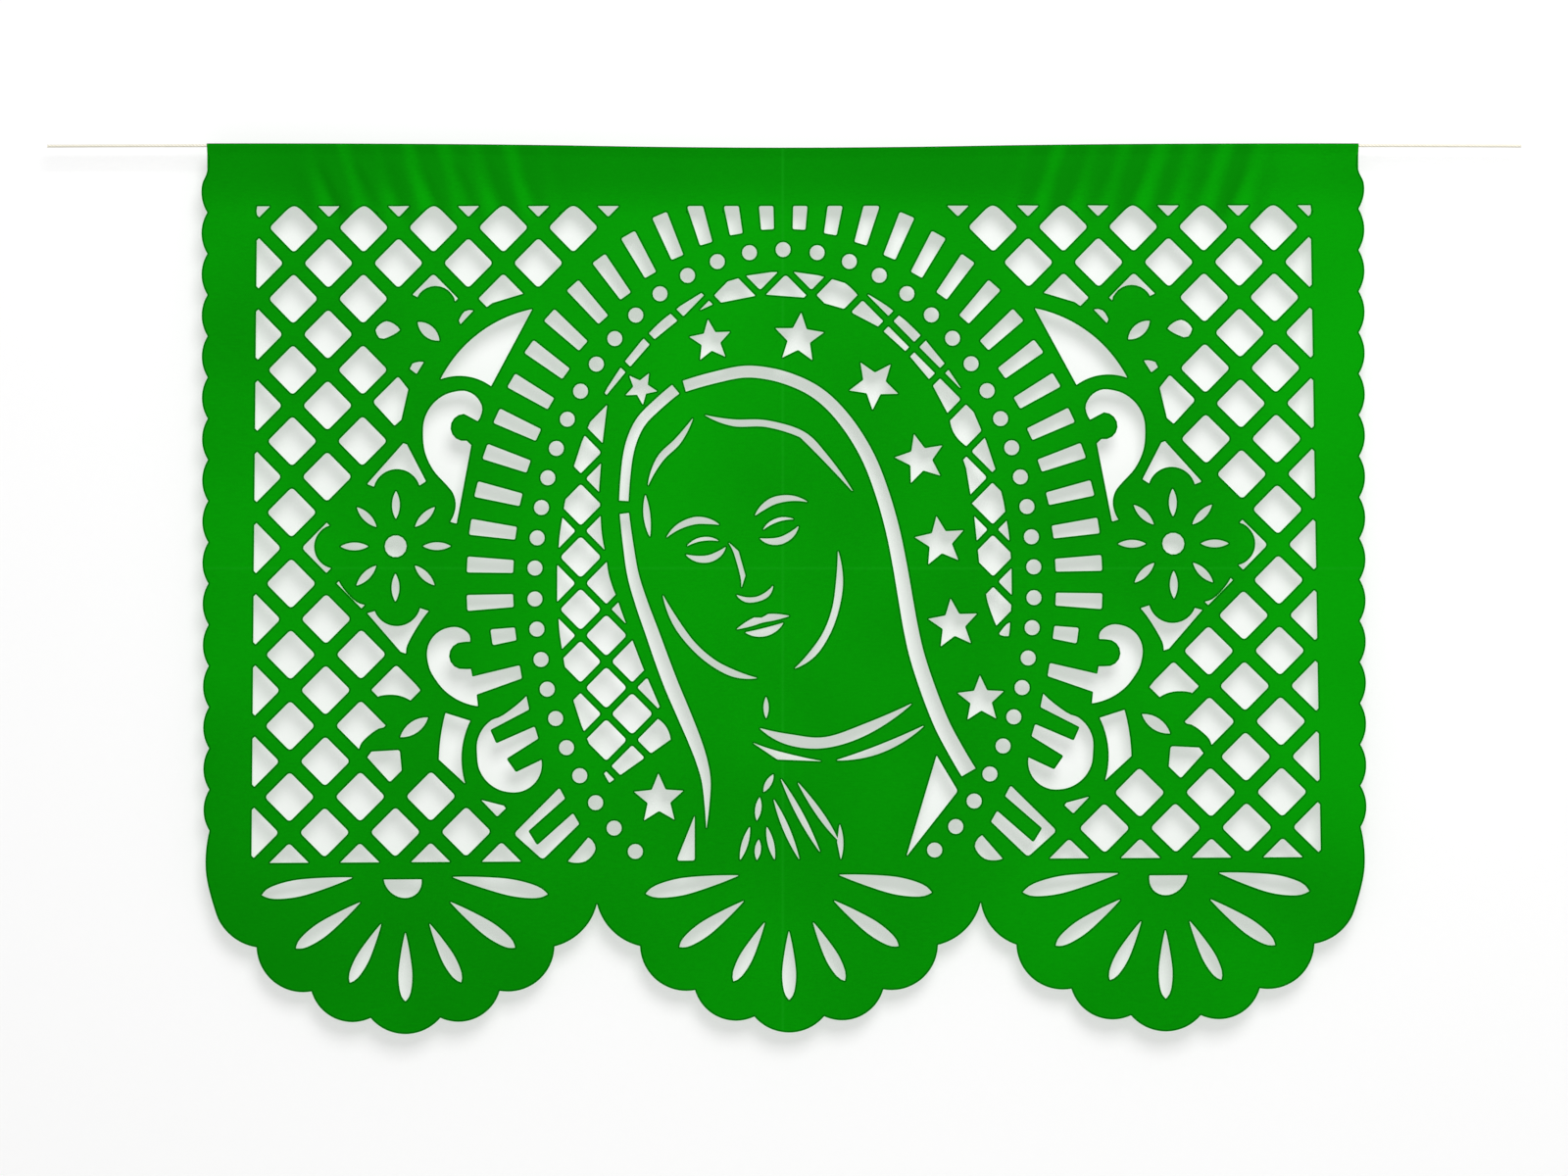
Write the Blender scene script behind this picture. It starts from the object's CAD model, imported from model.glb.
import math
import bmesh
import bpy
import numpy as np
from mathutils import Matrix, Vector, geometry, kdtree


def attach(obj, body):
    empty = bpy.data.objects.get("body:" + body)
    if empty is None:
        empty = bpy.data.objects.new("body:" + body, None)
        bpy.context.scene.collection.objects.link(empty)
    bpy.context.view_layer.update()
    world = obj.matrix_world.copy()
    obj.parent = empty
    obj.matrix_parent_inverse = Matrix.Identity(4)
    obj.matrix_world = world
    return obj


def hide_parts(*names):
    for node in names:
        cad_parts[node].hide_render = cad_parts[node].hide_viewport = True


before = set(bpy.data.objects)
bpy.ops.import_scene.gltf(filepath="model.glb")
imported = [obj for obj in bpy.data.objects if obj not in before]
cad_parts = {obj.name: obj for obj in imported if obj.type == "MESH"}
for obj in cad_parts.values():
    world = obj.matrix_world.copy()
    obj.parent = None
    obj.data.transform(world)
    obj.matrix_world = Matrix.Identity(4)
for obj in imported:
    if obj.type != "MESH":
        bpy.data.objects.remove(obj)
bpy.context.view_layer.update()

scene = bpy.context.scene
scene.view_settings.view_transform = "Standard"
mm = 0.001
white = (1, 1, 1, 1)


# small helpers for node materials

class Val:  # a number socket that can be used in Python expressions
    def __init__(self, nodes, socket):
        self.nodes, self.socket = nodes, socket

    def maths(self, operation, *values):
        made = self.nodes.node("Math", {"operation": operation}, dict(enumerate(values)))
        return Val(self.nodes, made.outputs[0])

    def __add__(self, other):
        return self.maths("ADD", self, other)

    def __sub__(self, other):
        return self.maths("SUBTRACT", self, other)

    def __rsub__(self, other):
        return self.maths("SUBTRACT", other, self)

    def __mul__(self, other):
        return self.maths("MULTIPLY", self, other)

    def __abs__(self):
        return self.maths("ABSOLUTE", self)

    def sine(self):
        return self.maths("SINE", self)

    def angle(self, other):
        return self.maths("ARCTAN2", self, other)

    def most(self, other):
        return self.maths("MAXIMUM", self, other)

    def clear(self, low, high):  # 0 below low, 1 above high, eased between
        sockets = {"Value": self, "From Min": low, "From Max": high}
        made = self.nodes.node("MapRange", {"interpolation_type": "SMOOTHSTEP"}, sockets)
        return Val(self.nodes, made.outputs["Result"])

    __radd__ = __add__
    __rmul__ = __mul__


class Nodes:  # the nodes of one material, or of the sky
    def __init__(self, owner, ending="OutputMaterial"):
        owner.use_nodes = True
        self.owner, self.tree = owner, owner.node_tree
        self.tree.nodes.clear()
        self.out = self.node(ending)

    def node(self, kind, settings=None, sockets=None):
        node = self.tree.nodes.new("ShaderNode" + kind)
        for key, value in (settings or {}).items():
            setattr(node, key, value)
        for key, value in (sockets or {}).items():
            self.feed(node.inputs[key], value)
        return node

    def feed(self, spot, value):
        if isinstance(value, Val):
            value = value.socket
        if isinstance(value, bpy.types.NodeSocket):
            self.tree.links.new(value, spot)
        else:
            spot.default_value = value

    def val(self, socket):
        return Val(self, socket)

    def place(self):  # x, y, z in metres, in the frame of the whole part
        spots = self.node("TexCoord").outputs["Object"]
        parts = self.node("SeparateXYZ", sockets={"Vector": spots}).outputs
        return spots, [self.val(parts[axis]) for axis in "XYZ"]

    def noise(self, spots, stretch, scale, detail=3.0, rough=0.55):
        mapped = self.node("Mapping", sockets={"Vector": spots, "Scale": stretch}).outputs[0]
        sockets = {"Vector": mapped, "Scale": scale, "Detail": detail, "Roughness": rough}
        return self.val(self.node("TexNoise", sockets=sockets).outputs["Fac"])

    def mix(self, share, first, second):  # between two colours
        return self.node("Mix", {"data_type": "RGBA"}, {0: share, 6: first, 7: second}).outputs[2]

    def bump(self, height, strength, distance):
        sockets = {"Height": height, "Strength": strength, "Distance": distance}
        return self.node("Bump", sockets=sockets).outputs["Normal"]

    def shown(self):  # 1 for rays that show a thing to the eye, in a mirror or through glass
        path = self.node("LightPath").outputs
        names = ("Is Camera Ray", "Is Glossy Ray", "Is Transmission Ray")
        eye, mirror, glass = [self.val(path[name]) for name in names]
        return eye.most(mirror).most(glass)

    def blend(self, share, first, second):  # between two shaders
        return self.node("MixShader", sockets={0: share, 1: first, 2: second}).outputs[0]

    def done(self, shader):
        self.feed(self.out.inputs["Surface"], shader)
        return self.owner


def newFinish(name):
    return Nodes(bpy.data.materials.new(name))


def link(obj):
    scene.collection.objects.link(obj)
    return obj


def metres(values):
    return [value * mm for value in values]


# camera: square in front of the sheet, as the photograph was taken (1600 by 1200)
cameraSet = {
    "lens": 85.0,
    "sensor": 36.0,
    "place": (-0.0001, -1.4645, -0.1748),
}


def makeCamera(s):
    data = bpy.data.cameras.new("photoCamera")
    data.lens = s["lens"]
    data.sensor_width = s["sensor"]
    camera = link(bpy.data.objects.new("photoCamera", data))
    camera.location = s["place"]
    camera.rotation_euler = (math.radians(90), 0, 0)
    scene.camera = camera


makeCamera(cameraSet)
print("camera set")


# hanging cord: a thin three-strand thread, pulled tight, with a slight dip in the middle
cordSet = {
    "route": [(-0.2915, 0, 0), (-0.15, 0, 0.0006), (0, 0, -0.0022), (0.15, 0, 0.0006), (0.2915, 0, 0)],
    "length": 0.583,
    "diameter": 0.0012,
    "strands": 3,
    "lay": 0.0042,  # length of one full twist
    "groove": 0.2,  # depth between two strands, as a share of the radius
    "sides": 18,
    "steps": 320,  # rings for each stretch of the route
    "order": 3,  # of the curve through the route
    "pathStep": 4,  # every fourth ring goes into the declared path
    "sharp": 60,  # edges that bend by more degrees stay sharp
    "pale": (0.92, 0.89, 0.78, 1),
    "shade": (0.70, 0.65, 0.51, 1),
    "paleSpan": (0.15, 0.85),
    "woundShare": 0.7,  # how much the strands and the fuzz make paler
    "fuzzShare": 0.5,
    "fuzz": (400, 2500, 2500),  # fineness of the fibres along the cord and across it
    "fuzzHeight": 0.6,
    "bump": (0.5, 0.0001),
    "rough": 0.95,
    "roughDrop": 0.12,
    "shine": 0.2,
}


def cordLine(s):
    data = bpy.data.curves.new("cordRoute", "CURVE")
    data.dimensions = "3D"
    data.resolution_u = s["steps"]
    spline = data.splines.new("NURBS")
    spline.points.add(len(s["route"]) - 1)
    for point, place in zip(spline.points, s["route"]):
        point.co = (*place, 1)
    spline.order_u = s["order"]
    spline.use_endpoint_u = True
    route = link(bpy.data.objects.new("cordRoute", data))
    bpy.context.view_layer.update()
    line = bpy.data.meshes.new_from_object(route)
    places = np.array([v.co[:] for v in line.vertices])
    bpy.data.objects.remove(route)
    bpy.data.meshes.remove(line)
    return places


def cordFinish(s):
    f = newFinish("creamThread")
    spots, (x, y, z) = f.place()
    wound = (x * (math.tau * s["strands"] / s["lay"]) - z.angle(y) * s["strands"]).sine() * 0.5 + 0.5
    fuzz = f.noise(spots, s["fuzz"], 1.0)
    share = (wound * s["woundShare"] + fuzz * s["fuzzShare"]).clear(*s["paleSpan"])
    sockets = {
        "Base Color": f.mix(share, s["shade"], s["pale"]),
        "Roughness": s["rough"] - share * s["roughDrop"],
        "Normal": f.bump(wound + fuzz * s["fuzzHeight"], *s["bump"]),
        "Specular IOR Level": s["shine"],
    }
    return f.done(f.node("BsdfPrincipled", sockets=sockets).outputs[0])


def makeCord(s, line):
    radius = s["diameter"] / 2
    along = np.concatenate([[0], np.cumsum(np.linalg.norm(np.diff(line, axis=0), axis=1))])
    turn = np.arange(s["sides"]) / s["sides"] * math.tau
    lobes = np.abs(np.cos(s["strands"] / 2 * (turn[None] - math.tau * along[:, None] / s["lay"])))
    reach = radius * (1 - s["groove"] * (1 - lobes))
    rings = np.empty((len(line), s["sides"], 3))
    rings[..., 0] = line[:, None, 0]
    rings[..., 1] = line[:, None, 1] + reach * np.cos(turn)
    rings[..., 2] = line[:, None, 2] + reach * np.sin(turn)
    sides, last = s["sides"], len(line) - 1
    faces = []
    for i in range(last):
        for k in range(sides):
            n = (k + 1) % sides
            faces.append((i * sides + k, i * sides + n, (i + 1) * sides + n, (i + 1) * sides + k))
    faces.append(tuple(range(sides))[::-1])
    faces.append(tuple(last * sides + k for k in range(sides)))
    mesh = bpy.data.meshes.new("hangingCordThread")
    mesh.from_pydata(rings.reshape(-1, 3).tolist(), [], faces)
    mesh.shade_smooth()
    mesh.set_sharp_from_angle(angle=math.radians(s["sharp"]))
    mesh.materials.append(cordFinish(s))
    thread = link(bpy.data.objects.new("hangingCordThread", mesh))
    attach(thread, "root")
    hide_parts("hanging_cord")
    return thread


cordPlaces = cordLine(cordSet)
cordThread = makeCord(cordSet, cordPlaces)
print("cord made,", len(cordPlaces), "rings")


# paper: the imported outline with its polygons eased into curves, gentle ripples, creases and the fold
# lengths are in millimetres and turns in degrees, and flat, area and paint are in metres
paperSet = {
    "thickness": 0.15,
    "flat": (0.46, 0.364),
    "area": 0.118,
    "sharp": 40,  # edges that bend more stay sharp

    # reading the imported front
    "sameSpot": 1e-6,  # points this near to each other, in metres, are one
    "facing": -0.99,
    "depthSlack": 0.02,

    # curves and corners of the outline
    "curveTurn": 10,  # on a curve the neighbours turn the same way, by at least this
    "curveSide": 7.5,  # and both sides are shorter than this
    "cornerTurn": 28,  # off a curve a larger turn is a corner
    "sharpTurn": 75,  # and a turn above this is one anywhere
    "longTurn": 50,  # or above this in a cut-out with a longer edge than longLoop
    "longLoop": 32.0,
    "sideRatio": 2.6,  # a slight turn is one where a side is this much longer than the next
    "step": 1.5,  # length of a step on a curve
    "mostSteps": 8,  # between two points of the outline
    "span": 2.4,  # longest step on a straight edge
    "keptTurn": 12,  # a corner that turns less isn't rounded
    "keptDrop": 0.5,  # nor is one this near to the fold
    "tipTurn": 115,  # a sharper corner is a pointed tip
    "tipRadius": 0.12,
    "cornerRadius": 1.6,
    "radiusShare": 0.13,  # largest radius as a share of the shorter side
    "reachShare": 0.45,  # and how far along that side the rounding goes
    "cornerSteps": (0, 0.25, 0.5, 0.75, 1),
    "topRow": (-26.0, -23.0),  # heights of the flat tops of the first row of diamonds
    "topTurn": (30, 60),
    "topCut": 3.2,  # how far down a side those tops are rounded

    # points inside the paper
    "rim": 0.8,  # width of the shaded cut edge
    "rimRoom": 0.75,  # share of it that its inner points keep from every edge
    "rows": ((-348, -27, 5.0), (-27, -4, 2.4)),  # lowest and highest row and their pitch, finer at the top
    "rowSide": 226,
    "rowHeight": 0.866,  # of a triangle with sides of 1
    "rowRoom": 0.45,  # share of the pitch that these points keep from every edge
    "weld": 1e-5,

    # the fold round the cord and the flap behind it
    "throat": -2.675,  # height where the front meets the fold, from the cord's axis
    "throatSlack": 0.1,
    "foldLength": 100,  # only the edge along the fold is longer
    "columns": 152,
    "loop": 0.825,  # radius of the fold's middle round the cord
    "foldRows": 11,
    "foldShade": 0.5,  # edge value on top of the fold
    "foldShadeFrom": 0.6,  # share of the radius where it starts
    "flapGap": 0.2,  # between the front and the flap
    "flapRows": 5,
    "flapEnd": -9.5,
    "flapWaves": ((0.22, 21), (0.12, 7.7)),  # size and length of the waves in the flap's edge

    # how the sheet hangs
    "follow": (3, 24),  # the paper follows the cord above these depths and hangs free below them
    "lean": 0.0034,  # slope of the cut picture against the cord, and the height it turns about
    "pivot": -175.5,
    "lift": 0.74,  # how much higher the picture hangs under the cord than in the solid
    "stiff": (4, 30),  # depths over which the sheet starts to sway
    "pucker": {  # short slanted ripples under the fold, on both sides
        "size": 0.55,
        "rise": (82, 105),  # from the middle outwards
        "fade": (180, 200),
        "start": (2, 10),  # and downwards
        "end": (18, 40),
        "length": 13.2,
        "slant": 0.3,
        "fineShare": 0.3,
        "fineLength": 7.9,
        "fineSlant": 0.5,
    },
    "sway": {"size": 0.5, "across": 118, "down": 140, "shifts": (0.6, 0.4)},
    "ruffle": {"size": 0.28, "across": 47, "down": 61, "shift": 1.3},
    "crease": {"x": -0.6, "z": -167, "width": 4.5, "back": 0.3, "front": 0.26},
    "curl": {"size": 0.9, "depths": (300, 352), "middle": 1.4, "lobe": 151.8},
    "drift": {  # the cut picture against the solid, inside its window
        "start": (4, 24),
        "end": (286, 300),
        "sides": (209, 228),
        "halfWidth": 200,
        "halfHeight": 130,
        "middle": -155,
        "spread": 0.37,
        "shear": 1.53,
        "bend": 0.34,
        "rise": 0.19,
        "tilt": 0.46,
    },

    "paint": {
        "dim": (0.0006, 0.205, 0.0006, 1),
        "bright": (0.001, 0.32, 0.001, 1),
        "worn": (0.008, 0.34, 0.01, 1),
        "dark": (0.0, 0.055, 0.002, 1),
        "lip": (0.001, 0.40, 0.001, 1),
        "cloudScale": 9.0,
        "fibreScale": (260, 260, 1900),
        "speckScale": 1500.0,
        "creaseWidth": 0.0009,
        "wornShare": 0.25,
        "puckerEnd": (-0.034, -0.022),
        "slow": {"length": 0.0214, "slant": 0.45, "share": 0.5},  # broader shade in the ripples
        "doubled": (-0.03, -0.01),  # the top band is backed by the flap
        "fadedX": (0.17, 0.212),  # the right margin has taken more light
        "fadedZ": (-0.31, -0.26),
        "deepX": (-0.16, -0.02),  # the lower left has taken less
        "deepZ": (-0.32, -0.25),
        "weights": {
            "cloud": 0.55, "fibre": 0.3, "speck": 0.15,
            "faded": 0.16, "deep": 0.2, "doubled": 0.19, "pucker": 0.14,
        },
        "toneSpan": (0.2, 0.8),
        "lineIn": (0.0, 0.4),  # edge values of the dark line just inside the cut
        "lineOut": (0.45, 0.85),
        "lineShare": 0.85,
        "lipSpan": (0.75, 1.0),  # and of the light caught on the very edge
        "rough": 0.74,
        "roughRise": 0.2,
        "fibreHeight": 0.7,
        "speckHeight": 0.3,
        "bump": (0.25, 0.00004),
        "shine": 0.03,
    },
}


def frontLoops(node, s):  # outlines of the front face as complex numbers in millimetres
    bm = bmesh.new()
    bm.from_mesh(node.data)
    bmesh.ops.remove_doubles(bm, verts=bm.verts, dist=s["sameSpot"])
    for face in bm.faces:
        depth = face.calc_center_median().y / mm + s["thickness"]
        face.tag = face.normal.y < s["facing"] and abs(depth) < s["depthSlack"]
    after = {}
    for face in [face for face in bm.faces if face.tag]:  # a list, so every run meets them in the same order
        for loop in face.loops:
            if not any(other.tag for other in loop.edge.link_faces if other is not face):
                after[loop.vert] = loop.link_loop_next.vert
    loops = []
    while after:
        start = next(iter(after))
        line = [start]
        step = after.pop(start)
        while step is not start:
            line.append(step)
            step = after.pop(step)
        loops.append(np.array([complex(v.co.x, v.co.z) / mm for v in line]))
    bm.free()
    loops.sort(key=lambda p: -np.ptp(p.real) * np.ptp(p.imag))
    return loops


def cornerFlags(p, s):  # which points are true corners, and how far the line turns at each
    step = np.roll(p, -1) - p
    turn = np.degrees(np.angle(step / np.roll(step, 1)))
    size, bend = np.abs(step), np.abs(turn)
    longer, shorter = np.maximum(size, np.roll(size, 1)), np.minimum(size, np.roll(size, 1))
    before, after = np.roll(turn, 1), np.roll(turn, -1)
    curve = (turn * before > 0) & (turn * after > 0) & (longer < s["curveSide"])
    curve &= np.minimum(np.abs(before), np.abs(after)) >= s["curveTurn"]
    corner = bend > (s["longTurn"] if size.sum() > s["longLoop"] else s["sharpTurn"])
    corner |= (bend > s["cornerTurn"]) & ~curve
    corner |= (bend <= s["cornerTurn"]) & (longer / shorter > s["sideRatio"])
    return corner, turn


def eased(points, closed, s):  # curve through the points, by Catmull and Rom
    p = np.array(points)
    if closed:
        p = np.concatenate([p[-1:], p, p[:2]])
    else:
        way, last = p[1] - p[0], p[-1] - p[-2]
        bend = (p[2] - p[1]) / way
        ending = last / (p[-2] - p[-3])
        first = p[0] - way * np.conj(bend) / abs(bend)
        final = p[-1] + last * ending / abs(ending)
        p = np.concatenate([[first], p, [final]])
    out = []
    for a, b, c, d in zip(p, p[1:], p[2:], p[3:]):
        count = int(np.clip(round(abs(c - b) / s["step"]), 1, s["mostSteps"]))
        for t in np.arange(count) / count:
            square = (2 * a - 5 * b + 4 * c - d) * t * t
            cube = (3 * b - a - 3 * c + d) * t ** 3
            out.append(0.5 * (2 * b + (c - a) * t + square + cube))
    return out


def smoothLoop(p, s):  # curves eased and corners rounded
    corner, turn = cornerFlags(p, s)
    if not corner.any():
        return np.array(eased(p, True, s))
    shift = int(np.argmax(corner))
    p, corner, turn = np.roll(p, -shift), np.roll(corner, -shift), np.roll(turn, -shift)
    marks = list(np.flatnonzero(corner)) + [len(p)]
    ring = np.append(p, p[0])
    line, sharp = [], []
    for start, end in zip(marks, marks[1:]):
        run = ring[start:end + 1]
        made = eased(run, False, s) if len(run) > 2 else [run[0]]
        sharp += [turn[start]] + [0.0] * (len(made) - 1)
        line += made
    out = []
    for i, here in enumerate(line):
        back, ahead = line[i - 1] - here, line[(i + 1) % len(line)] - here
        bend = abs(sharp[i])
        if bend < s["keptTurn"] or here.imag > s["throat"] - s["keptDrop"]:
            out.append(here)
            continue
        shorter = min(abs(back), abs(ahead))
        radius = min(s["cornerRadius"], s["radiusShare"] * shorter)
        if bend > s["tipTurn"]:
            radius = s["tipRadius"]
        cuts = [min(radius * math.tan(math.radians(bend) / 2), s["reachShare"] * shorter)] * 2
        onTop = s["topRow"][0] < here.imag < s["topRow"][1]
        if onTop and s["topTurn"][0] < bend < s["topTurn"][1]:
            cuts = [min(s["topCut"], abs(way) / 2) for way in (back, ahead)]
        a, b = here + back / abs(back) * cuts[0], here + ahead / abs(ahead) * cuts[1]
        out += [(1 - t) ** 2 * a + 2 * t * (1 - t) * here + t * t * b for t in s["cornerSteps"]]
    return np.array(out)


def splitLong(p, s):  # no straight step longer than the span, and even columns along the fold
    out = []
    for here, after in zip(p, np.roll(p, -1)):
        length = abs(after - here)
        onFold = min(here.imag, after.imag) > s["throat"] - s["throatSlack"] and length > s["foldLength"]
        count = s["columns"] if onFold else max(1, math.ceil(length / s["span"]))
        out += [here + (after - here) * k / count for k in range(count)]
    return np.array(out)


def ease(value, low, high):
    t = np.clip((value - low) / (high - low), 0, 1)
    return t * t * (3 - 2 * t)


def dip(x):  # height of the cord's axis
    return np.interp(x, cordPlaces[:, 0] / mm, cordPlaces[:, 2] / mm)


def ripple(x, z, s):  # how far the paper stands off its plane, towards the back
    side, down = np.abs(x), -z
    pucker, sway, ruffle, crease, curl = [s[k] for k in ("pucker", "sway", "ruffle", "crease", "curl")]
    band = ease(side, *pucker["rise"]) * (1 - ease(side, *pucker["fade"]))
    band = band * ease(down, *pucker["start"]) * (1 - ease(down, *pucker["end"]))
    waves = np.sin((side - pucker["slant"] * z) / pucker["length"] * math.tau)
    fine = np.sin((side - pucker["fineSlant"] * z) / pucker["fineLength"] * math.tau + 1)
    waves = waves + pucker["fineShare"] * fine
    swing = np.sin(x / sway["across"] + sway["shifts"][0])
    hang = sway["size"] * swing * np.sin(down / sway["down"] + sway["shifts"][1])
    hang = hang + ruffle["size"] * np.sin(x / ruffle["across"] - z / ruffle["down"] + ruffle["shift"])
    upright = crease["back"] * np.exp(-np.abs(x - crease["x"]) / crease["width"])
    level = crease["front"] * np.exp(-np.abs(z - crease["z"]) / crease["width"])
    lobes = np.cos((x - curl["middle"]) / curl["lobe"] * math.tau)
    rolled = -curl["size"] * ease(down, *curl["depths"]) * lobes
    return pucker["size"] * band * waves + ease(down, *s["stiff"]) * (hang + (upright - level) + rolled)


def drift(x, z, s):  # how far hand cutting has moved the picture inside its window, across and up
    right, up = x / s["halfWidth"], (z - s["middle"]) / s["halfHeight"]
    inside = ease(-z, *s["start"]) * (1 - ease(-z, *s["end"])) * (1 - ease(np.abs(x), *s["sides"]))
    across = s["spread"] * right - s["shear"] * right * up + s["bend"] * right ** 2
    return inside * across, inside * (s["rise"] - s["tilt"] * right * up)


def paperFaces(loops, s):  # points, edge values and triangles of the front
    outline = [splitLong(smoothLoop(p, s), s) for p in loops]
    points = np.concatenate(outline)
    starts = np.cumsum([0] + [len(p) for p in outline])
    rings = [list(range(a, b)) for a, b in zip(starts, starts[1:])]
    rings[1:] = [ring[::-1] for ring in rings[1:]]
    near = kdtree.KDTree(len(points))
    for i, p in enumerate(points):
        near.insert((p.real, p.imag, 0), i)
    near.balance()
    inner = []
    for p in outline:
        way = np.roll(p, -1) - np.roll(p, 1)
        for place in p + 1j * way / np.abs(way) * s["rim"]:  # the paper is on the left of every loop
            if near.find((place.real, place.imag, 0))[2] > s["rimRoom"] * s["rim"]:
                inner.append(place)
    for low, high, pitch in s["rows"]:
        for row, z in enumerate(np.arange(low, high, pitch * s["rowHeight"])):
            for x in np.arange(-s["rowSide"], s["rowSide"] + 1, pitch) + (row % 2) * pitch / 2:
                if near.find((x, z, 0))[2] > s["rowRoom"] * pitch:
                    inner.append(complex(x, z))
    every = np.concatenate([points, np.array(inner)])
    flat = [Vector((p.real, p.imag)) for p in every]
    made = geometry.delaunay_2d_cdt(flat, [], rings, 1, s["weld"], True)
    places = np.array([v[:] for v in made[0]])
    edge = np.array([1.0 if any(k < len(points) for k in ids) else 0.0 for ids in made[3]])
    faces = [face for face, owners in zip(made[2], made[5]) if len(owners) == 1]
    return places, edge, faces


def foldSection(s):  # depth, height, edge value and looseness of each row over the cord and down the flap
    half, loop = s["thickness"] / 2, s["loop"]
    touch = math.acos(loop / math.hypot(half, s["throat"]))
    low = math.degrees(math.atan2(s["throat"], -half)) - math.degrees(touch) + 360
    rows = []
    for angle in np.linspace(low, 180 - low, s["foldRows"]):
        depth, height = loop * math.cos(math.radians(angle)), loop * math.sin(math.radians(angle))
        rows.append((depth, height, s["foldShade"] if height > s["foldShadeFrom"] * loop else 0.0, False))
    for height in np.linspace(s["throat"], s["flapEnd"], s["flapRows"]):
        rows.append((half + s["flapGap"], height, 1.0 if height == s["flapEnd"] else 0.0, True))
    return rows


def makePaperMesh(s):
    loops = frontLoops(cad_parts["paper_sheet"], s)
    print("outline loops:", len(loops))
    places, edge, faces = paperFaces(loops, s)
    x, z = places.T
    free = ease(-z, *s["follow"])  # 0 at the fold, which follows the cord, and 1 where the sheet hangs free
    across = x - s["lean"] * (z - s["pivot"])
    moved, risen = drift(x, z, s["drift"])
    height = z + dip(x) * (1 - free) + (s["lean"] * x + s["lift"]) * free + risen
    rows = [np.column_stack([across + moved, ripple(x, z, s) - s["thickness"] / 2, height])]
    top = np.flatnonzero(z > s["throat"] - s["throatSlack"])
    top = top[np.argsort(x[top])]
    edge[top] = 0
    rim = [edge]
    columns, flatColumns = across[top], x[top]
    previous, total = list(top), len(x)
    for depth, height, shade, loose in foldSection(s):
        wave = 0
        if height == s["flapEnd"]:
            wave = sum(size * np.sin(columns / length) for size, length in s["flapWaves"])
        lift = ripple(flatColumns, np.full(len(columns), height), s) if loose else 0
        depths = np.full(len(columns), depth) + lift
        rows.append(np.column_stack([columns, depths, height + dip(columns) + wave]))
        rim.append(np.full(len(columns), shade))
        row = list(range(total, total + len(columns)))
        for i in range(len(columns) - 1):
            faces.append((previous[i], previous[i + 1], row[i + 1], row[i]))
        previous, total = row, total + len(columns)
    places = np.concatenate(rows) * mm
    rim = np.concatenate(rim)
    used = np.unique(np.concatenate([np.array(face) for face in faces]))
    order = np.full(len(places), -1)
    order[used] = np.arange(len(used))
    mesh = bpy.data.meshes.new("paperSheetCut")
    mesh.from_pydata(places[used].tolist(), [], [tuple(int(order[k]) for k in face) for face in faces])
    mesh.attributes.new("cutEdge", "FLOAT", "POINT").data.foreach_set("value", rim[used])
    return mesh


def paperFinish(s):
    f = newFinish("greenPaper")
    paint, crease, pucker = s["paint"], s["crease"], s["pucker"]
    slow, weights = paint["slow"], paint["weights"]
    spots, (x, _, z) = f.place()
    cloud = f.noise(spots, (1, 1, 1), paint["cloudScale"], 2.0)
    fibre = f.noise(spots, paint["fibreScale"], 1.0, 4.0, 0.65)
    speck = f.noise(spots, (1, 1, 1), paint["speckScale"], 2.0)
    upright = 1 - abs(x - crease["x"] * mm).clear(0, paint["creaseWidth"])
    level = 1 - abs(z - crease["z"] * mm).clear(0, paint["creaseWidth"])
    edge = f.val(f.node("Attribute", {"attribute_name": "cutEdge"}).outputs["Fac"])
    side = abs(x)
    band = side.clear(*metres(pucker["rise"])) * (1 - side.clear(*metres(pucker["fade"])))
    band = band * z.clear(*paint["puckerEnd"])
    quick = ((side - z * pucker["slant"]) * (math.tau / (pucker["length"] * mm))).sine()
    broad = ((side - z * slow["slant"]) * (math.tau / slow["length"]) + 1).sine()
    shade = (quick + broad * slow["share"]) * band
    doubled = z.clear(*paint["doubled"])
    faded = x.clear(*paint["fadedX"]) * z.clear(*paint["fadedZ"])
    deep = (1 - x.clear(*paint["deepX"])) * (1 - z.clear(*paint["deepZ"]))
    tone = cloud * weights["cloud"] + fibre * weights["fibre"] + speck * weights["speck"]
    tone = tone + faded * weights["faded"] - deep * weights["deep"]
    tone = tone - doubled * weights["doubled"] + shade * weights["pucker"]
    body = f.mix(tone.clear(*paint["toneSpan"]), paint["dim"], paint["bright"])
    worn = f.mix(upright.most(level) * paint["wornShare"], body, paint["worn"])
    line = edge.clear(*paint["lineIn"]) * (1 - edge.clear(*paint["lineOut"]))
    dark = f.mix(line * paint["lineShare"], worn, paint["dark"])
    sockets = {
        "Base Color": f.mix(edge.clear(*paint["lipSpan"]), dark, paint["lip"]),
        "Roughness": paint["rough"] + fibre * paint["roughRise"],
        "Normal": f.bump(fibre * paint["fibreHeight"] + speck * paint["speckHeight"], *paint["bump"]),
        "Specular IOR Level": paint["shine"],
    }
    return f.done(f.node("BsdfPrincipled", sockets=sockets).outputs[0])


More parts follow.
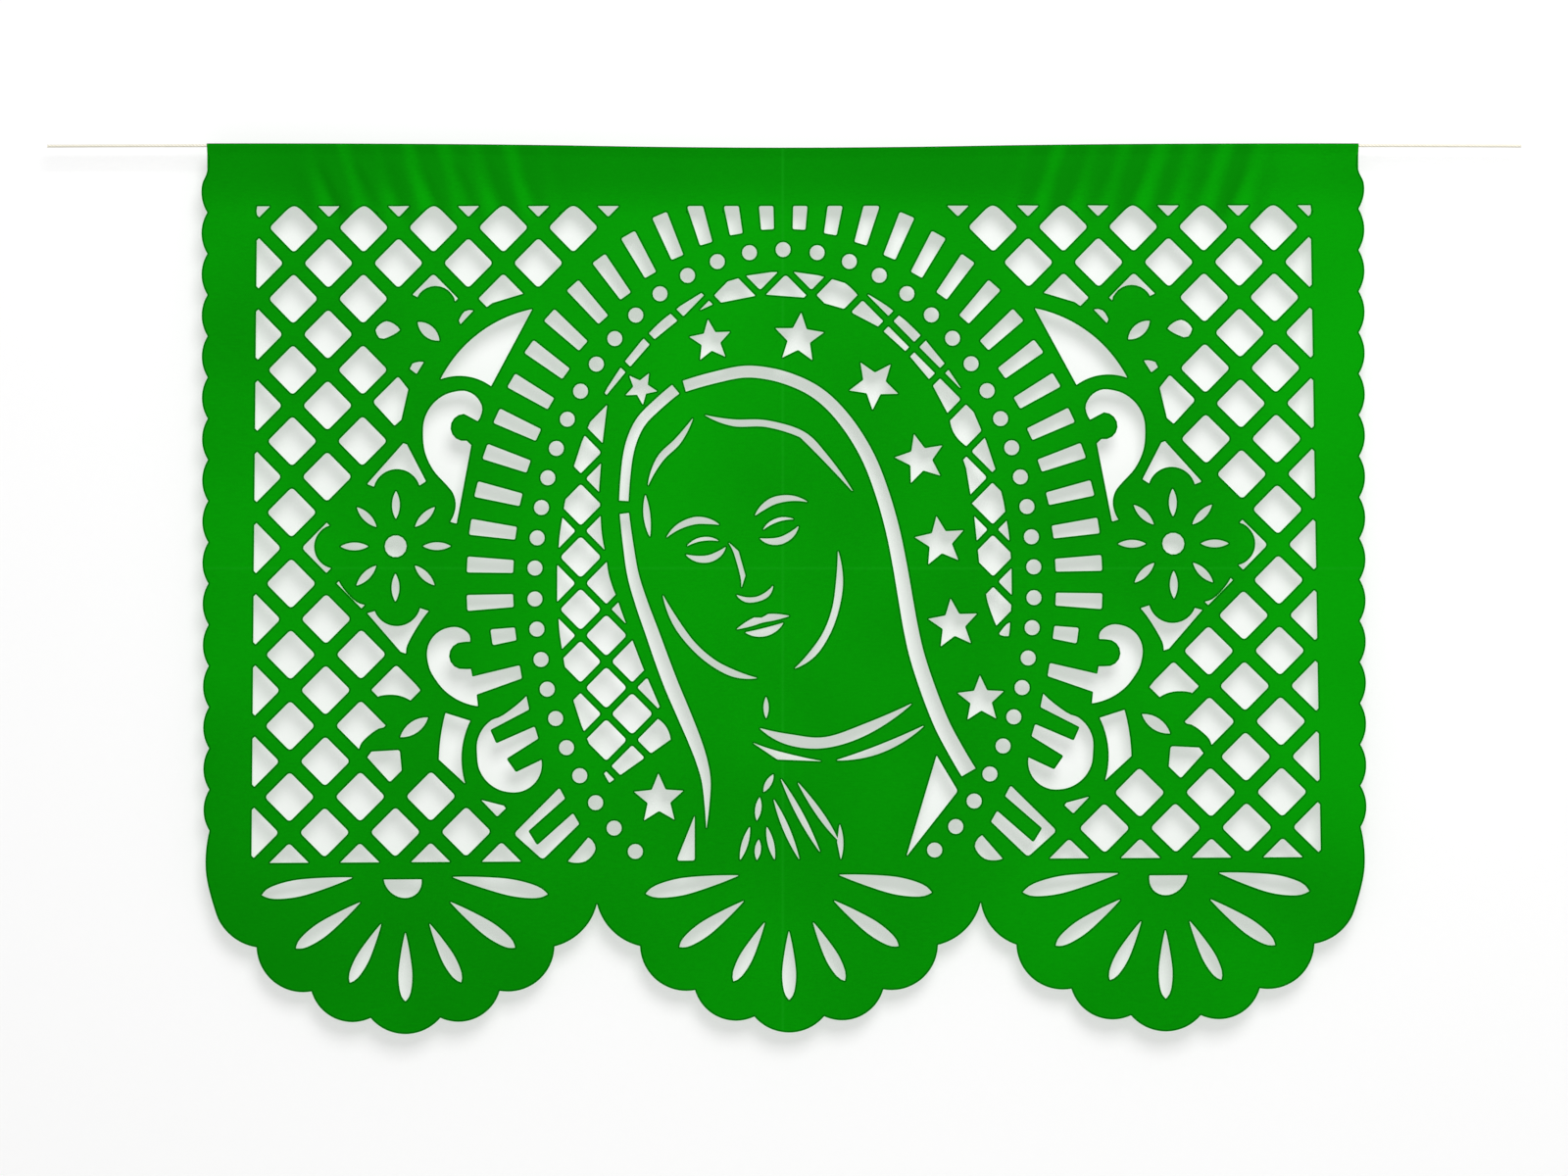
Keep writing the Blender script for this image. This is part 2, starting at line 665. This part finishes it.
def makePaper(s):
    flatMesh = makePaperMesh(s)
    paper = link(bpy.data.objects.new("paperSheetCut", flatMesh))
    body = paper.modifiers.new("paperThickness", "SOLIDIFY")
    body.thickness = s["thickness"] * mm
    body.offset = 0
    bpy.context.view_layer.update()
    seen = paper.evaluated_get(bpy.context.evaluated_depsgraph_get())
    mesh = bpy.data.meshes.new_from_object(seen)
    paper.modifiers.clear()
    paper.data = mesh
    mesh.name = "paperSheetCut"
    mesh.shade_smooth()
    mesh.set_sharp_from_angle(angle=math.radians(s["sharp"]))
    mesh.materials.clear()
    mesh.materials.append(paperFinish(s))
    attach(paper, "root")
    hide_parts("paper_sheet")
    return paper


paperSheet = makePaper(paperSet)
print("paper made,", len(paperSheet.data.polygons), "faces")


# stage: a white wall just behind the sheet, open from behind, and a pale floor
stageSet = {
    "wallGap": 0.0095,
    "wallSize": 4.0,
    "floorDrop": -0.95,
    "white": (0.98, 0.98, 0.98, 1),
    "wallGlow": 0.54,
    "paleFloor": (0.82, 0.82, 0.81, 1),
    "floorGlow": 0.45,
}


def stageFinish(name, colour, glow, openBack):
    f = newFinish(name)
    shown = f.shown()
    matt = f.node("BsdfDiffuse", sockets={"Color": colour}).outputs[0]
    lit = f.node("Emission", sockets={"Color": white, "Strength": 1.0}).outputs[0]
    shader = f.blend(shown * glow, matt, lit)
    if openBack:  # the wall shows only from its front, and lets light through to the back of the sheet
        behind = f.val(f.node("NewGeometry").outputs["Backfacing"]).most(1 - shown)
        shader = f.blend(behind, shader, f.node("BsdfTransparent").outputs[0])
    return f.done(shader)


def stagePlane(name, corners, material):
    mesh = bpy.data.meshes.new(name)
    mesh.from_pydata(corners, [], [(0, 1, 2, 3)])
    mesh.materials.append(material)
    plane = link(bpy.data.objects.new(name, mesh))


def makeStage(s):
    w, y, low = s["wallSize"] / 2, s["wallGap"], s["floorDrop"]
    wall = [(-w, y, low), (w, y, low), (w, y, w), (-w, y, w)]
    floor = [(-w, -w, low), (w, -w, low), (w, w, low), (-w, w, low)]
    stagePlane("whiteWall", wall, stageFinish("whiteWall", s["white"], s["wallGlow"], True))
    stagePlane("paleFloor", floor, stageFinish("paleFloor", s["paleFloor"], s["floorGlow"], False))


makeStage(stageSet)


# light: one broad soft lamp high in front, a weak one behind, and an even pale sky
lightSet = {
    "key": {"place": (0.25, -1.3, 0.75), "aim": (0, 0, -0.17), "size": 0.8, "power": 21.7},
    "rear": {"place": (-0.4, 1.5, 0.3), "aim": (0, 0, -0.17), "size": 1.2, "power": 7.0},
    "sky": 0.37,
}


def makeLamp(name, s):
    data = bpy.data.lights.new(name, "AREA")
    data.shape = "SQUARE"
    data.size = s["size"]
    data.energy = s["power"]
    lamp = link(bpy.data.objects.new(name, data))
    lamp.location = s["place"]
    lamp.rotation_euler = (Vector(s["aim"]) - Vector(s["place"])).to_track_quat("-Z", "Y").to_euler()


def makeSky(strength):
    f = Nodes(bpy.data.worlds.new("paleSky"), "OutputWorld")
    even = f.node("Background", sockets={"Color": white, "Strength": strength}).outputs[0]
    plain = f.node("Background", sockets={"Color": white, "Strength": 1.0}).outputs[0]
    scene.world = f.done(f.blend(f.shown(), even, plain))


makeLamp("frontLamp", lightSet["key"])
makeLamp("rearLamp", lightSet["rear"])
makeSky(lightSet["sky"])
print("stage and light set")
